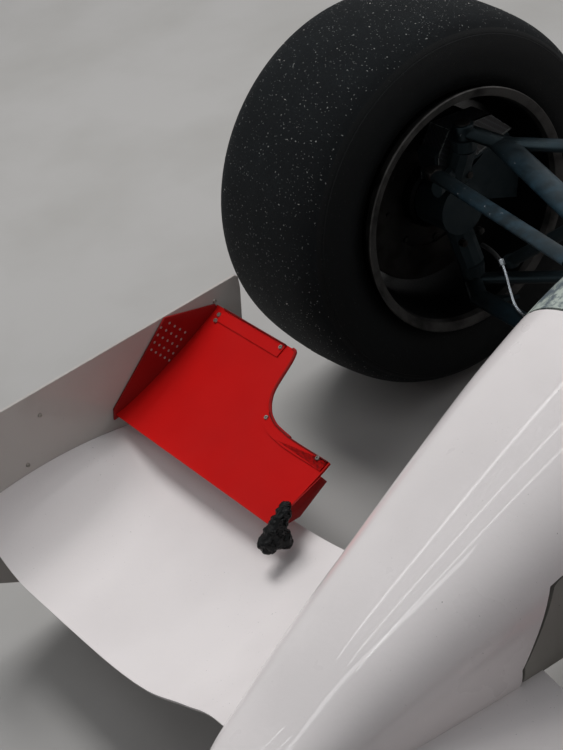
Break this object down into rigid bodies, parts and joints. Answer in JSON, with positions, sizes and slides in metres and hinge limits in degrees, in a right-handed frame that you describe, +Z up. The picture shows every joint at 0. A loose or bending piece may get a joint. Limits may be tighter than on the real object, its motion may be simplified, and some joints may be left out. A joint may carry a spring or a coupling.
{
  "type": "open wheel racing car",
  "caption": "Single seat open wheel racing car with winged nose, slick tyres, steered front wheels and a hollow cockpit.",
  "frame": {"origin": "centre of the footprint box, on the ground", "axes": "+X the car's left side, -Y forwards out of the nose, +Z up"},
  "size_m": [1.654, 4.28, 0.9328],
  "materials": {
    "white_paint": "white gloss paint with small chips",
    "red_paint": "worn red gloss paint",
    "black_steel": "satin black",
    "bare_steel": "brushed",
    "carbon": "woven carbon",
    "foam": "black foam pad",
    "magnesium": "dark satin",
    "tyre": "worn slick rubber"
  },
  "bodies": {
    "chassis": {"monocoque": "white_paint", "nose_cone": "white_paint", "front_wing_main_plane": "white_paint", "front_endplate_left": "white_paint", "front_endplate_right": "white_paint", "front_flap_left": "red_paint", "front_flap_right": "red_paint", "front_upper_wishbone_left": "black_steel", "front_upper_wishbone_right": "black_steel", "front_lower_wishbone_left": "black_steel", "front_lower_wishbone_right": "black_steel", "front_pushrod_left": "black_steel", "front_pushrod_right": "black_steel", "track_rod_left": "black_steel", "track_rod_right": "black_steel", "front_brake_line_left": "bare_steel", "front_brake_line_right": "bare_steel", "floor": "carbon", "sidepod_left": "white_paint", "sidepod_right": "white_paint", "radiator_left": "bare_steel", "radiator_right": "bare_steel", "engine_block": "bare_steel", "gearbox": "bare_steel", "engine_cover": "white_paint", "exhaust": "bare_steel", "rear_upper_wishbone_left": "black_steel", "rear_upper_wishbone_right": "black_steel", "rear_lower_wishbone_left": "black_steel", "rear_lower_wishbone_right": "black_steel", "rear_pushrod_left": "black_steel", "rear_pushrod_right": "black_steel", "rear_upright_left": "black_steel", "rear_upright_right": "black_steel", "driveshaft_left": "bare_steel", "driveshaft_right": "bare_steel", "rear_endplate_left": "white_paint", "rear_endplate_right": "white_paint", "rear_wing_planes": "white_paint", "rear_wing_pillar": "carbon", "seat": "foam", "headrest": "foam", "dash_bulkhead": "carbon", "mirror_left": "white_paint", "mirror_right": "white_paint"},
    "steering": {"steering_wheel": "carbon", "steering_column": "bare_steel"},
    "front_hub_left": {"front_upright_left": "black_steel"},
    "front_wheel_left": {"front_rim_left": "magnesium", "front_tyre_left": "tyre"},
    "rear_wheel_left": {"rear_rim_left": "magnesium", "rear_tyre_left": "tyre"},
    "front_hub_right": {"front_upright_right": "black_steel"},
    "front_wheel_right": {"front_rim_right": "magnesium", "front_tyre_right": "tyre"},
    "rear_wheel_right": {"rear_rim_right": "magnesium", "rear_tyre_right": "tyre"}
  },
  "joints": [
    {"name": "steering_turn", "type": "hinge", "parent": "chassis", "child": "steering", "pos_m": [0, -0.38, 0.5], "axis": [0, 0.9781, 0.2079], "range_deg": [-150, 150]},
    {"name": "steer_left", "type": "hinge", "parent": "chassis", "child": "front_hub_left", "pos_m": [0.606, -1.276, 0.152], "axis": [-0.0746, 0.0663, 0.995], "range_deg": [-15, 15]},
    {"name": "front_wheel_spin_left", "type": "hinge", "parent": "front_hub_left", "child": "front_wheel_left", "pos_m": [0.705, -1.28, 0.27526], "axis": [1, 0, 0], "continuous": true},
    {"name": "rear_wheel_spin_left", "type": "hinge", "parent": "chassis", "child": "rear_wheel_left", "pos_m": [0.69, 1.42, 0.28321], "axis": [1, 0, 0], "continuous": true},
    {"name": "steer_right", "type": "hinge", "parent": "chassis", "child": "front_hub_right", "pos_m": [-0.606, -1.276, 0.152], "axis": [0.0746, 0.0663, 0.995], "range_deg": [-15, 15]},
    {"name": "front_wheel_spin_right", "type": "hinge", "parent": "front_hub_right", "child": "front_wheel_right", "pos_m": [-0.705, -1.28, 0.27526], "axis": [1, 0, 0], "continuous": true},
    {"name": "rear_wheel_spin_right", "type": "hinge", "parent": "chassis", "child": "rear_wheel_right", "pos_m": [-0.69, 1.42, 0.28321], "axis": [1, 0, 0], "continuous": true}
  ],
  "couplings": [
    {"joint": "steer_left", "follows": "steering_turn", "ratio": 0.1},
    {"joint": "steer_right", "follows": "steering_turn", "ratio": 0.1}
  ]
}
